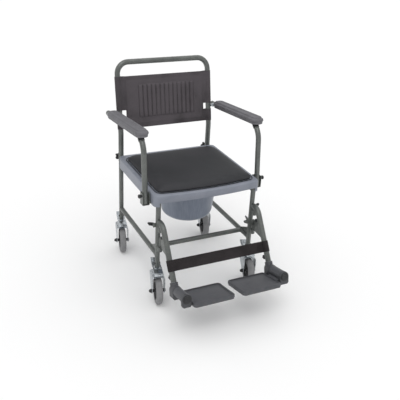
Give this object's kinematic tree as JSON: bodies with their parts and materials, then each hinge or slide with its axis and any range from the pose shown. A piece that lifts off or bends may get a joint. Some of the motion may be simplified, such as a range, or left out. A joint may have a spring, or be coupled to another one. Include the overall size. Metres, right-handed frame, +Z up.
{
  "type": "mobile commode chair",
  "caption": "Wheeled commode chair: steel tube frame on braked casters, padded lid over a seat with a bucket, flip-up armrests, ribbed back cover and swing-away footrests.",
  "frame": {"origin": "middle of the footprint of the whole chair, on the floor", "axes": "+Z up, -Y towards the front of the chair, +X to the right seen from its front"},
  "size_m": [0.6136, 0.8902, 0.9553],
  "materials": {
    "frame_paint": "satin anthracite powder coat with a slight metallic sheen",
    "seat_plastic": "moulded, fine satin texture, blue grey",
    "bucket_plastic": "smooth moulded, blue grey",
    "cushion_vinyl": "fine grained coated fabric, dark grey",
    "cover_fabric": "coated stretch fabric, dark grey brown, with stitched channels",
    "arm_pad": "soft moulded foam skin, mid grey",
    "black_plastic": "moulded, black",
    "hub_plastic": "glass filled nylon, dark grey",
    "footplate_plastic": "moulded, dark grey, ribbed",
    "strap_webbing": "woven webbing, black",
    "zinc": "bright zinc plate",
    "tyre_rubber": "grey non marking rubber on a black hub",
    "steel": "bright drawn steel"
  },
  "bodies": {
    "frame": {"armrest_bracket_left": "frame_paint", "armrest_bracket_right": "frame_paint", "front_leg_left": "frame_paint", "front_leg_right": "frame_paint", "lower_crossbar": "frame_paint", "lower_rail_left": "frame_paint", "lower_rail_right": "frame_paint", "rear_leg_left": "frame_paint", "rear_leg_right": "frame_paint", "seat_crossbar_front": "frame_paint", "seat_crossbar_rear": "frame_paint", "seat_rail_left": "frame_paint", "seat_rail_right": "frame_paint", "commode_seat": "seat_plastic"},
    "backrest": {"back_tube": "frame_paint", "backrest_cover": "cover_fabric", "armrest_pivot_left": "steel", "armrest_pivot_right": "steel"},
    "back_knob_left": {"back_knob_left": "black_plastic"},
    "armrest_left": {"armrest_tube_left": "frame_paint", "armrest_pad_left": "arm_pad"},
    "armrest_latch_left": {"armrest_latch_left": "black_plastic"},
    "hanger_left": {"hanger_tube_left": "frame_paint", "hanger_bracket_left": "frame_paint", "calf_strap": "strap_webbing"},
    "release_lever_left": {"release_lever_left": "black_plastic"},
    "footrest_stem_left": {"footrest_stem_left": "steel", "footrest_hub_left": "hub_plastic"},
    "footplate_left": {"footplate_left": "footplate_plastic"},
    "stem_knob_left": {"stem_knob_left": "black_plastic"},
    "caster_fork_front_left": {"caster_fork_front_left": "zinc", "caster_axle_front_left": "black_plastic"},
    "caster_wheel_front_left": {"caster_wheel_front_left": "tyre_rubber"},
    "brake_pedal_front_left": {"brake_pedal_front_left": "zinc"},
    "caster_fork_rear_left": {"caster_fork_rear_left": "zinc", "caster_axle_rear_left": "black_plastic"},
    "caster_wheel_rear_left": {"caster_wheel_rear_left": "tyre_rubber"},
    "brake_pedal_rear_left": {"brake_pedal_rear_left": "zinc"},
    "back_knob_right": {"back_knob_right": "black_plastic"},
    "armrest_right": {"armrest_tube_right": "frame_paint", "armrest_pad_right": "arm_pad"},
    "armrest_latch_right": {"armrest_latch_right": "black_plastic"},
    "hanger_right": {"hanger_tube_right": "frame_paint", "hanger_bracket_right": "frame_paint", "strap_loop": "strap_webbing"},
    "release_lever_right": {"release_lever_right": "black_plastic"},
    "footrest_stem_right": {"footrest_stem_right": "steel", "footrest_hub_right": "hub_plastic"},
    "footplate_right": {"footplate_right": "footplate_plastic"},
    "stem_knob_right": {"stem_knob_right": "black_plastic"},
    "caster_fork_front_right": {"caster_fork_front_right": "zinc", "caster_axle_front_right": "black_plastic"},
    "caster_wheel_front_right": {"caster_wheel_front_right": "tyre_rubber"},
    "brake_pedal_front_right": {"brake_pedal_front_right": "zinc"},
    "caster_fork_rear_right": {"caster_fork_rear_right": "zinc", "caster_axle_rear_right": "black_plastic"},
    "caster_wheel_rear_right": {"caster_wheel_rear_right": "tyre_rubber"},
    "brake_pedal_rear_right": {"brake_pedal_rear_right": "zinc"},
    "bucket": {"bucket": "bucket_plastic"},
    "seat_cushion": {"seat_cushion": "cushion_vinyl"}
  },
  "joints": [
    {"name": "backrest_lift", "type": "slide", "parent": "frame", "child": "backrest", "axis": [0, 0, 1], "range_m": [0, 0.1]},
    {"name": "armrest_left_flip", "type": "hinge", "parent": "backrest", "child": "armrest_left", "pos_m": [-0.274, 0.391, 0.711], "axis": [-1, 0, 0], "range_deg": [0, 100]},
    {"name": "back_knob_left_turn", "type": "hinge", "parent": "backrest", "child": "back_knob_left", "pos_m": [-0.231, 0.39948, 0.491], "axis": [0, 1, 0], "continuous": true},
    {"name": "armrest_latch_left_pull", "type": "slide", "parent": "frame", "child": "armrest_latch_left", "axis": [-1, 0, 0], "range_m": [0, 0.01], "stiffness_N_per_m": 400},
    {"name": "hanger_left_swing", "type": "hinge", "parent": "frame", "child": "hanger_left", "pos_m": [-0.231, -0.13252, 0], "axis": [0, 0, -1], "range_deg": [0, 100]},
    {"name": "release_lever_left_press", "type": "hinge", "parent": "frame", "child": "release_lever_left", "pos_m": [-0.25, -0.10152, 0.376], "axis": [0, -1, 0], "range_deg": [0, 20], "stiffness_Nm_per_rad": 0.1},
    {"name": "footrest_left_length", "type": "slide", "parent": "hanger_left", "child": "footrest_stem_left", "axis": [0, -0.5476, -0.8368], "range_m": [0, 0.08]},
    {"name": "stem_knob_left_turn", "type": "hinge", "parent": "hanger_left", "child": "stem_knob_left", "pos_m": [-0.231, -0.26298, 0.20248], "axis": [0, 0.8368, -0.5476], "continuous": true},
    {"name": "footplate_left_flip", "type": "hinge", "parent": "footrest_stem_left", "child": "footplate_left", "pos_m": [-0.231, -0.30525, 0.168], "axis": [0, -0.9763, 0.2164], "range_deg": [0, 90]},
    {"name": "caster_front_left_swivel", "type": "hinge", "parent": "frame", "child": "caster_fork_front_left", "pos_m": [-0.231, -0.10502, 0.15], "axis": [0, 0, 1], "continuous": true},
    {"name": "caster_front_left_roll", "type": "hinge", "parent": "caster_fork_front_left", "child": "caster_wheel_front_left", "pos_m": [-0.24, -0.14399, 0.0625], "axis": [0.9744, -0.225, 0], "continuous": true},
    {"name": "brake_front_left_press", "type": "hinge", "parent": "caster_fork_front_left", "child": "brake_pedal_front_left", "pos_m": [-0.231, -0.10502, 0.156], "axis": [0.9744, -0.225, 0], "range_deg": [0, 6]},
    {"name": "caster_rear_left_swivel", "type": "hinge", "parent": "frame", "child": "caster_fork_rear_left", "pos_m": [-0.231, 0.37498, 0.15], "axis": [0, 0, 1], "continuous": true},
    {"name": "caster_rear_left_roll", "type": "hinge", "parent": "caster_fork_rear_left", "child": "caster_wheel_rear_left", "pos_m": [-0.24, 0.33601, 0.0625], "axis": [0.9744, -0.225, 0], "continuous": true},
    {"name": "brake_rear_left_press", "type": "hinge", "parent": "caster_fork_rear_left", "child": "brake_pedal_rear_left", "pos_m": [-0.231, 0.37498, 0.156], "axis": [0.9744, -0.225, 0], "range_deg": [0, 6]},
    {"name": "armrest_right_flip", "type": "hinge", "parent": "backrest", "child": "armrest_right", "pos_m": [0.274, 0.391, 0.711], "axis": [-1, 0, 0], "range_deg": [0, 100]},
    {"name": "back_knob_right_turn", "type": "hinge", "parent": "backrest", "child": "back_knob_right", "pos_m": [0.231, 0.39948, 0.491], "axis": [0, 1, 0], "continuous": true},
    {"name": "armrest_latch_right_pull", "type": "slide", "parent": "frame", "child": "armrest_latch_right", "axis": [1, 0, 0], "range_m": [0, 0.01], "stiffness_N_per_m": 400},
    {"name": "hanger_right_swing", "type": "hinge", "parent": "frame", "child": "hanger_right", "pos_m": [0.231, -0.13252, 0], "axis": [0, 0, 1], "range_deg": [0, 100]},
    {"name": "release_lever_right_press", "type": "hinge", "parent": "frame", "child": "release_lever_right", "pos_m": [0.25, -0.10152, 0.376], "axis": [0, 1, 0], "range_deg": [0, 20], "stiffness_Nm_per_rad": 0.1},
    {"name": "footrest_right_length", "type": "slide", "parent": "hanger_right", "child": "footrest_stem_right", "axis": [0, -0.5476, -0.8368], "range_m": [0, 0.08]},
    {"name": "stem_knob_right_turn", "type": "hinge", "parent": "hanger_right", "child": "stem_knob_right", "pos_m": [0.231, -0.26298, 0.20248], "axis": [0, 0.8368, -0.5476], "continuous": true},
    {"name": "footplate_right_flip", "type": "hinge", "parent": "footrest_stem_right", "child": "footplate_right", "pos_m": [0.231, -0.30525, 0.168], "axis": [0, 0.9763, -0.2164], "range_deg": [0, 90]},
    {"name": "caster_front_right_swivel", "type": "hinge", "parent": "frame", "child": "caster_fork_front_right", "pos_m": [0.231, -0.10502, 0.15], "axis": [0, 0, 1], "continuous": true},
    {"name": "caster_front_right_roll", "type": "hinge", "parent": "caster_fork_front_right", "child": "caster_wheel_front_right", "pos_m": [0.222, -0.14399, 0.0625], "axis": [0.9744, -0.225, 0], "continuous": true},
    {"name": "brake_front_right_press", "type": "hinge", "parent": "caster_fork_front_right", "child": "brake_pedal_front_right", "pos_m": [0.231, -0.10502, 0.156], "axis": [0.9744, -0.225, 0], "range_deg": [0, 6]},
    {"name": "caster_rear_right_swivel", "type": "hinge", "parent": "frame", "child": "caster_fork_rear_right", "pos_m": [0.231, 0.37498, 0.15], "axis": [0, 0, 1], "continuous": true},
    {"name": "caster_rear_right_roll", "type": "hinge", "parent": "caster_fork_rear_right", "child": "caster_wheel_rear_right", "pos_m": [0.222, 0.33601, 0.0625], "axis": [0.9744, -0.225, 0], "continuous": true},
    {"name": "brake_rear_right_press", "type": "hinge", "parent": "caster_fork_rear_right", "child": "brake_pedal_rear_right", "pos_m": [0.231, 0.37498, 0.156], "axis": [0.9744, -0.225, 0], "range_deg": [0, 6]},
    {"name": "bucket_draw", "type": "slide", "parent": "frame", "child": "bucket", "axis": [0, 1, 0], "range_m": [0, 0.32]},
    {"name": "cushion_lift", "type": "slide", "parent": "frame", "child": "seat_cushion", "axis": [0, 0, 1], "range_m": [0, 0.3]}
  ]
}
